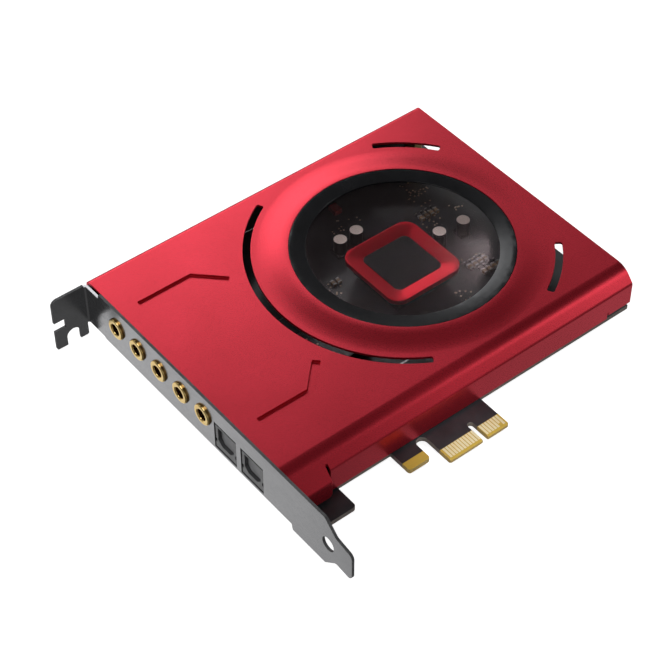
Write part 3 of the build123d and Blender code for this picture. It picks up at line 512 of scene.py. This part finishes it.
def solid_boxes(node):
    """Lowest and highest corners of each separate solid in a node."""
    shape = merged_copy(node)
    left = set(shape.verts)
    boxes = []
    while left:
        front = [left.pop()]
        found = []
        while front:
            vert = front.pop()
            found.append(vert.co.copy())
            near = {edge.other_vert(vert) for edge in vert.link_edges} & left
            left -= near
            front.extend(near)
        boxes.append((Vector([min(p[axis] for p in found) for axis in range(3)]),
                      Vector([max(p[axis] for p in found) for axis in range(3)])))
    shape.free()
    return sorted(boxes, key=lambda box: tuple(box[0]))


def add_leads(shape, low, high, outward, count, pitch, width):
    """Row of gull-wing leads along one side of a chip, each bent down to the board."""
    middle = (low + high) / 2
    half = (high - low) / 2
    side = Vector((-outward.y, outward.x, 0))
    root = Vector((middle.x + outward.x * half.x, middle.y + outward.y * half.y, middle.z))
    drop = Vector((0, 0, low.z + LEAD_SHEET - middle.z))
    for number in range(count):
        start = root + side * (pitch * (number - (count - 1) / 2) - width / 2)
        points = [start - outward * 0.1 * LEAD_REACH, start + outward * 0.3 * LEAD_REACH,
                  start + outward * 0.5 * LEAD_REACH + drop, start + outward * LEAD_REACH + drop]
        add_strip(shape, points, side * width, LEAD_SHEET)


def add_block(shape, low, high, radius, finish=0):
    """Box between two corners with rounded edges."""
    place = Matrix.Translation((low + high) / 2) @ Matrix.Diagonal((*(high - low), 1))
    verts = bmesh.ops.create_cube(shape, size=1.0, matrix=place)["verts"]
    for face in {face for vert in verts for face in vert.link_faces}:
        face.material_index = finish
    round_edges(shape, list({edge for vert in verts for edge in vert.link_edges}), radius)


resin_finish = plain_grain("chip_resin", low=(0.012, 0.012, 0.013), high=(0.030, 0.030, 0.032),
                           rough=(0.5, 0.65), scales=(260, 3600), bump=0.3)
tin_finish = plain_grain("tinned_lead", low=(0.38, 0.37, 0.37), high=(0.54, 0.53, 0.53), rough=(0.28, 0.42),
                         scales=(500, 3000), values={"Metallic": 1.0}, bump=0.1)
for node in ("audio_processor", "converter_chip", "amplifier_chips", "voltage_regulators"):
    make_piece(node, rounded_copy(node, CHIP_EDGE), [resin_finish], [node])

leads = bmesh.new()
for low, high in solid_boxes("amplifier_chips"):
    for way in (-1, 1):
        add_leads(leads, low, high, Vector((0, way, 0)), AMPLIFIER_LEADS, AMPLIFIER_PITCH, AMPLIFIER_LEAD)
for low, high in solid_boxes("converter_chip"):
    for outward in (Vector((1, 0, 0)), Vector((-1, 0, 0)), Vector((0, 1, 0)), Vector((0, -1, 0))):
        add_leads(leads, low, high, outward, CONVERTER_LEADS, CONVERTER_PITCH, CONVERTER_LEAD)
for low, high in solid_boxes("voltage_regulators"):
    add_leads(leads, low, high, Vector((0, -1, 0)), REGULATOR_LEADS, REGULATOR_PITCH, REGULATOR_LEAD)
bmesh.ops.recalc_face_normals(leads, faces=leads.faces)
for low, high in solid_boxes("voltage_regulators"):
    corner = Vector(((low.x + high.x - HEAT_TAB.x) / 2, high.y - TAB_OVERLAP, low.z))
    add_block(leads, corner, corner + HEAT_TAB, CHIP_EDGE)
make_piece("chip_leads", leads, [tin_finish])


# Small parts on the board
# Sintered capacitors and resistors with tinned ends, electrolytic cans of drawn aluminium, a relay,
# a crystal in a metal can and two red lights, all soldered flat on the board.
END_SHARE = 0.25
END_STEP = 0.03 * MM
END_EDGE = 0.08 * MM
BLOCK_EDGE = 0.05 * MM
CAN_EDGE = 0.3 * MM
CAN_TOP_Z = 4 * MM
CRYSTAL_EDGE = 0.15 * MM
RELAY_EDGE = 0.2 * MM
LIGHT_EDGE = 0.15 * MM


def make_chip_parts(node, finish):
    """Blocks with a tinned cap at each end, one on each solid of a node."""
    shape = bmesh.new()
    for low, high in solid_boxes(node):
        cap = Vector((0, (high.y - low.y) * END_SHARE, 0))
        inset = Vector((END_STEP, 0, 0))
        lift = Vector((0, 0, END_STEP))
        add_block(shape, low + inset, high - inset - lift, BLOCK_EDGE)
        add_block(shape, low, Vector((high.x, low.y, high.z)) + cap, END_EDGE, 1)
        add_block(shape, Vector((low.x, high.y, low.z)) - cap, high, END_EDGE, 1)
    make_piece(node, shape, [finish, tin_finish], [node])


def is_can_top(face):
    return face.normal.z > 0.9 and face.calc_center_median().z > CAN_TOP_Z


ceramic_finish = plain_grain("tan_ceramic", low=(0.20, 0.13, 0.08), high=(0.32, 0.23, 0.15),
                             rough=(0.4, 0.55), scales=(500, 4000))
aluminium_finish = plain_grain("drawn_aluminium", low=(0.08, 0.075, 0.075), high=(0.13, 0.12, 0.12),
                               rough=(0.3, 0.42), scales=(220, 2600), values={"Metallic": 1.0},
                               stretch=(1, 1, 0.3))
# Bare aluminium tops. Their pink tint and part of their brightness are a painted highlight.
can_top_highlight_finish = plain_grain("can_top", low=(0.92, 0.78, 0.72), high=(1.0, 0.86, 0.80), rough=(0.38, 0.5),
                             scales=(220, 2600), values={"Metallic": 0.3})
solder_finish = plain_grain("reflowed_solder", low=(0.52, 0.52, 0.53), high=(0.74, 0.74, 0.75),
                            rough=(0.22, 0.36), scales=(300, 2400), values={"Metallic": 1.0}, bump=0.15)
lens_finish = plain_grain("red_lens", low=(0.20, 0.008, 0.008), high=(0.30, 0.016, 0.014), rough=(0.2, 0.3),
                          scales=(400, 3000), values={"Transmission Weight": 0.2})
make_chip_parts("ceramic_capacitors", ceramic_finish)
make_chip_parts("chip_resistors", resin_finish)
cans = rounded_copy("electrolytic_cans", CAN_EDGE, is_can_top)
make_piece("electrolytic_cans", cans, [aluminium_finish, can_top_highlight_finish],
           ["electrolytic_cans"])
crystal = rounded_copy("crystal", CRYSTAL_EDGE)
make_piece("crystal", crystal, [aluminium_finish], ["crystal"])
relay = rounded_copy("output_relay", RELAY_EDGE)
make_piece("output_relay", relay, [plastic_finish], ["output_relay"])
lights = rounded_copy("indicator_lights", LIGHT_EDGE)
make_piece("indicator_lights", lights, [lens_finish], ["indicator_lights"])
dress_node("solder_joints", solder_finish)


# Badge on the processor
# A square dished frame, painted red, on a black heat spreader over the processor. A plain black
# insert is glued into its floor.
BADGE_EDGE = 0.1 * MM
INSERT_EDGE = 0.12 * MM
SPREADER_EDGE = 0.12 * MM

badge_finish = plain_grain("badge_red", low=(0.48, 0.005, 0.017), high=(0.54, 0.007, 0.022),
                           rough=(0.28, 0.34), scales=(300, 3600), values={"Metallic": 0.88})
insert_finish = plain_grain("black_insert", low=(0.003, 0.003, 0.004), high=(0.006, 0.006, 0.007),
                            rough=(0.25, 0.32), scales=(180, 3200), values={"Specular IOR Level": 0.15})
spreader_finish = plain_grain("black_anodised", low=(0.010, 0.010, 0.011), high=(0.022, 0.022, 0.024),
                              rough=(0.4, 0.5), scales=(200, 3000), values={"Metallic": 0.6}, bump=0.1)
badge = rounded_copy("badge_frame", BADGE_EDGE)
make_piece("badge_frame", badge, [badge_finish], ["badge_frame"])
insert = rounded_copy("badge_insert", INSERT_EDGE)
make_piece("badge_insert", insert, [insert_finish], ["badge_insert"])
spreader = rounded_copy("heat_spreader", SPREADER_EDGE)
make_piece("heat_spreader", spreader, [spreader_finish], ["heat_spreader"])


# Cover
# Thin sheet pressed with a raised round boss, arc vents and two grooves, folded on three sides and
# painted a satin metallic red outside. Its inside faces are painted near black, as painted shade for
# the dark inside of the cover. Brass standoffs carry it above the board.
BOSS_FOOT_R = 40.5 * MM
BOSS_FOOT_ROUND = 1.9 * MM
BOSS_BROW_R = 34.3 * MM
BOSS_BROW_ROUND = 1.2 * MM
BOSS_TURN_LOW = radians(6.5)
BOSS_TURN_HIGH = radians(10)
RING_REACH = 0.2 * MM
RING_WELD = 0.3 * MM
COVER_EDGE = 0.12 * MM
INSIDE_FACE_TOP = 12.5 * MM
WINDOW_MIDDLE = sum(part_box("window_disc"), Vector()) / 2
MIDDLE_Y = sum(corner.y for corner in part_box("cover")) / 2
PAINT_DEEP = (0.60, 0.022, 0.040)
PAINT_PALE = (0.66, 0.026, 0.048)
PAINT_TINT = (1.0, 0.55, 0.62, 1)
FLAKE_DEPTH = 0.01 * MM


def is_inside_face(face):
    """True for an inside face: one that looks down, or from a wall toward the middle of the card."""
    middle = face.calc_center_median()
    inward = copysign(face.normal.y, face.normal.y * (MIDDLE_Y - middle.y))
    return face.normal.z < -0.3 or (middle.z < INSIDE_FACE_TOP and inward > 0.7)


def is_on_ring(vert, ring_r):
    return abs((vert.co - WINDOW_MIDDLE).xy.length - ring_r) < RING_REACH


def pressed_edges(shape, ring_r):
    """Edges of the boss's top skin on a ring round the window, which turn by only a few degrees."""
    return [edge for edge in shape.edges
            if edge.is_manifold and BOSS_TURN_LOW < edge.calc_face_angle() < BOSS_TURN_HIGH
            and all(face.normal.z > 0.9 for face in edge.link_faces)
            and all(is_on_ring(vert, ring_r) for vert in edge.verts)]


paint_finish = new_finish("metallic_red", {"Metallic": 0.78, "Coat Weight": 0.25, "Coat Roughness": 0.3,
                                           "Specular Tint": PAINT_TINT})
flakes = add_grain(paint_finish, cloud=60, grain=6000)
mix_colour(paint_finish, flakes.outputs["Cloud"], PAINT_DEEP, PAINT_PALE)
vary_roughness(paint_finish, flakes.outputs["Grain"], 0.26, 0.32)
add_bump(paint_finish, flakes.outputs["Grain"], 0.06, FLAKE_DEPTH)
# Near-black finish on the cover's inside faces: painted shade for the dark inside of the cover.
inside_shade_finish = plain_grain("inside_painted_shade", low=(0.010, 0.009, 0.009), high=(0.018, 0.016, 0.016),
                            rough=(0.5, 0.65), scales=(120, 3000))
cover = merged_copy("cover")
for face in cover.faces:
    face.material_index = int(is_inside_face(face))
for ring_r, radius, segments in ((BOSS_FOOT_R, BOSS_FOOT_ROUND, 6), (BOSS_BROW_R, BOSS_BROW_ROUND, 4)):
    ring = {vert for edge in pressed_edges(cover, ring_r) for vert in edge.verts}
    bmesh.ops.remove_doubles(cover, verts=list(ring), dist=RING_WELD)
    round_edges(cover, pressed_edges(cover, ring_r), radius, segments, clamp=False)
round_keen(cover, COVER_EDGE)
make_piece("cover", cover, [paint_finish, inside_shade_finish], ["cover"])


# Window
# A black glossy bezel glued behind the lip of the boss, and a clear, slightly smoky disc seated in
# its rebate and sunk a little toward its middle.
BEZEL_EDGE = 0.15 * MM
SIGHT_R = 27.9 * MM
DISC_SINK = 0.9 * MM
DISC_WELD = 1e-6
SINK_STEPS = 8
SPIN_STEPS = 96
SMOKE = (0.86, 0.84, 0.84, 1)
VEIL = (1.0, 0.78, 0.79, 1)
VEIL_SHARE = 0.038

gloss_finish = plain_grain("black_gloss", low=(0.008, 0.008, 0.009), high=(0.014, 0.014, 0.016),
                           rough=(0.10, 0.14), scales=(180, 3200), values={"Specular IOR Level": 0.4})
bezel = rounded_copy("window_bezel", BEZEL_EDGE)
make_piece("window_bezel", bezel, [gloss_finish], ["window_bezel"])

# The sheet bends light very little, and a thin glossy veil gives its reflections. Shadow rays pass
# straight through it, so that the parts below it are lit.
clear_finish = new_finish("clear_sheet", {"Base Color": SMOKE, "Roughness": 0.02, "Transmission Weight": 1.0,
                                          "IOR": 1.1})
veil = add_node(clear_finish, "ShaderNodeBsdfGlossy", {"Color": VEIL, "Roughness": 0.08})
glaze = add_node(clear_finish, "ShaderNodeMixShader", {"Fac": VEIL_SHARE})
join(clear_finish, shader_of(clear_finish).outputs["BSDF"], glaze.inputs[1])
join(clear_finish, veil.outputs["BSDF"], glaze.inputs[2])
path = add_node(clear_finish, "ShaderNodeLightPath")
through = add_node(clear_finish, "ShaderNodeBsdfTransparent", {"Color": SMOKE})
choice = add_node(clear_finish, "ShaderNodeMixShader")
join(clear_finish, path.outputs["Is Shadow Ray"], choice.inputs[0])
join(clear_finish, glaze.outputs["Shader"], choice.inputs[1])
join(clear_finish, through.outputs["BSDF"], choice.inputs[2])


def set_surface(finish, source):
    """Makes an output the surface of a material in place of the Principled shader."""
    join(finish, source, finish.node_tree.nodes["Material Output"].inputs["Surface"])


set_surface(clear_finish, choice.outputs["Shader"])


def sunk_disc(low, high):
    """Round sheet between two corners, its outline spun about the upright axis."""
    axis = Vector(((low.x + high.x) / 2, (low.y + high.y) / 2, high.z))
    top = [Vector((SIGHT_R * step / SINK_STEPS, 0, DISC_SINK * ((step / SINK_STEPS) ** 2 - 1)))
           for step in range(SINK_STEPS + 1)]
    top.append(Vector(((high.x - low.x) / 2, 0, 0)))
    drop = Vector((0, 0, low.z - high.z))
    shape = bmesh.new()
    verts = [shape.verts.new(axis + point) for point in top + [point + drop for point in reversed(top)]]
    edges = [shape.edges.new(pair) for pair in zip(verts, verts[1:])]
    bmesh.ops.spin(shape, geom=verts + edges, cent=axis, axis=(0, 0, 1), angle=radians(360),
                   steps=SPIN_STEPS, use_merge=True)
    bmesh.ops.remove_doubles(shape, verts=shape.verts, dist=DISC_WELD)
    bmesh.ops.recalc_face_normals(shape, faces=shape.faces)
    return shape


make_piece("window_disc", sunk_disc(*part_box("window_disc")), [clear_finish], ["window_disc"])


# Studio
# A pale floor that is clear from below, a wide softbox low behind the card and a weak one at its
# right, a fill at the right front, a light over the left side, a spot on the plug, a room that is
# dark overhead, and a long lens at the photograph's angle.
FLOOR_SIZE = 6.0
FLOOR_DROP = 0.02 * MM
FLOOR_GLOW = 0.92
FLOOR_GREY = (0.8, 0.8, 0.8, 1)
WHITE = (1, 1, 1, 1)
AIM = Vector((-7.55, 55.31, 0.8)) * MM
PLUG_MIDDLE = Vector((-3, 3, 0.8)) * MM
CAMERA_PLACE = Vector((-248.75, -244.49, 401.51)) * MM
LENS_LENGTH = 104.68
SENSOR_WIDTH = 36.0

floor_shape = bmesh.new()
bmesh.ops.create_grid(floor_shape, x_segments=1, y_segments=1, size=FLOOR_SIZE / 2,
                      matrix=Matrix.Translation((0, 0, cad_box[0].z - FLOOR_DROP)))
floor_mesh = bpy.data.meshes.new("floor")
floor_shape.to_mesh(floor_mesh)
floor_shape.free()
floor_finish = new_finish("pale_floor", {"Base Color": FLOOR_GREY, "Roughness": 1.0,
                                         "Specular IOR Level": 0.0, "Emission Color": WHITE})
seen = add_node(floor_finish, "ShaderNodeLightPath")
glow = add_node(floor_finish, "ShaderNodeMath", {1: FLOOR_GLOW}, operation="MULTIPLY")
join(floor_finish, seen.outputs["Is Camera Ray"], glow.inputs[0])
join(floor_finish, glow.outputs["Value"], shader_of(floor_finish).inputs["Emission Strength"])
side = add_node(floor_finish, "ShaderNodeNewGeometry")
unseen = add_node(floor_finish, "ShaderNodeBsdfTransparent")
one_way = add_node(floor_finish, "ShaderNodeMixShader")
join(floor_finish, side.outputs["Backfacing"], one_way.inputs[0])
join(floor_finish, shader_of(floor_finish).outputs["BSDF"], one_way.inputs[1])
join(floor_finish, unseen.outputs["BSDF"], one_way.inputs[2])
set_surface(floor_finish, one_way.outputs["Shader"])
floor_mesh.materials.append(floor_finish)
floor = bpy.data.objects.new("floor", floor_mesh)
floor.visible_glossy = False
bpy.context.scene.collection.objects.link(floor)


def toward(azimuth, elevation):
    """Unit direction, its azimuth measured from +Y toward +X."""
    flat = cos(radians(elevation))
    return Vector((flat * sin(radians(azimuth)), flat * cos(radians(azimuth)), sin(radians(elevation))))


def hang_lamp(lamp, target, direction, distance, roll=0):
    """Hangs a lamp in a direction from its target, facing it and out of the camera's sight."""
    holder = bpy.data.objects.new(lamp.name, lamp)
    holder.location = target + direction * distance
    holder.rotation_mode = "QUATERNION"
    turn = Quaternion((0, 0, 1), radians(roll))
    holder.rotation_quaternion = (-direction).to_track_quat("-Z", "Y") @ turn
    holder.visible_camera = False
    bpy.context.scene.collection.objects.link(holder)


def add_softbox(name, direction, distance, size, power, colour=(1, 1, 1), roll=0):
    """Rectangular light that faces the middle of the card."""
    lamp = bpy.data.lights.new(name, "AREA")
    lamp.shape = "RECTANGLE"
    lamp.size, lamp.size_y = size
    lamp.energy = power
    lamp.color = colour
    hang_lamp(lamp, AIM, direction, distance, roll)


add_softbox("back_softbox", toward(19.6, 33.4), distance=3.0, size=(1.77, 1.16), power=19.6,
            colour=(0.97, 0.98, 1.0), roll=-7)
add_softbox("right_softbox", toward(58, 36), distance=1.2, size=(0.3, 0.3), power=0.14,
            colour=(0.95, 0.97, 1.0))
add_softbox("front_fill", toward(128, 27), distance=1.2, size=(0.55, 0.55), power=1.9)
add_softbox("left_overhead", toward(-80, 62), distance=1.2, size=(0.6, 0.6), power=3.0)
spot = bpy.data.lights.new("plug_spot", "SPOT")
spot.energy = 5.2
spot.spot_size = radians(6.4)
spot.spot_blend = 1.0
spot.shadow_soft_size = 0.015
hang_lamp(spot, PLUG_MIDDLE, toward(205, 62), distance=0.5)

world = bpy.data.worlds.new("studio")
world.use_nodes = True
room = world.node_tree
backdrop = room.nodes["Background"]
facing = room.nodes.new("ShaderNodeTexCoord")


def room_ramp(axis, low, high, first, last):
    """Brightness that goes smoothly from first to last as a direction turns along an axis."""
    dot = room.nodes.new("ShaderNodeVectorMath")
    dot.operation = "DOT_PRODUCT"
    dot.inputs[1].default_value = axis
    ramp = room.nodes.new("ShaderNodeMapRange")
    ramp.interpolation_type = "SMOOTHSTEP"
    for socket, number in zip(("From Min", "From Max", "To Min", "To Max"), (low, high, first, last)):
        ramp.inputs[socket].default_value = number
    room.links.new(facing.outputs["Generated"], dot.inputs[0])
    room.links.new(dot.outputs["Value"], ramp.inputs["Value"])
    return ramp.outputs["Result"]


def room_blend(factor, first, second):
    """Brightness that goes from the first to the second with a factor."""
    blend = room.nodes.new("ShaderNodeMix")
    room.links.new(factor, blend.inputs["Factor"])
    room.links.new(first, blend.inputs["A"])
    room.links.new(second, blend.inputs["B"])
    return blend.outputs["Result"]


above = room_ramp((0, 0, 1), low=0.1, high=0.9, first=0.30, last=0.04)
below = room_ramp((0.707, 0.707, 0), low=-0.12, high=0.20, first=0.10, last=0.82)
horizon = room_ramp((0, 0, 1), low=-0.2, high=0.1, first=0.0, last=1.0)
onlooker = room.nodes.new("ShaderNodeLightPath")
backcloth = room.nodes.new("ShaderNodeValue")
backcloth.outputs["Value"].default_value = FLOOR_GLOW
shown = room_blend(onlooker.outputs["Is Camera Ray"], room_blend(horizon, below, above),
                   backcloth.outputs["Value"])
room.links.new(shown, backdrop.inputs["Strength"])
backdrop.inputs["Color"].default_value = WHITE
bpy.context.scene.world = world
bpy.context.scene.view_settings.view_transform = "Standard"

camera_data = bpy.data.cameras.new("camera")
camera_data.lens = LENS_LENGTH
camera_data.sensor_width = SENSOR_WIDTH
camera = bpy.data.objects.new("camera", camera_data)
camera.location = CAMERA_PLACE
camera.rotation_mode = "QUATERNION"
camera.rotation_quaternion = (AIM - CAMERA_PLACE).to_track_quat("-Z", "Y")
bpy.context.scene.collection.objects.link(camera)
bpy.context.scene.camera = camera
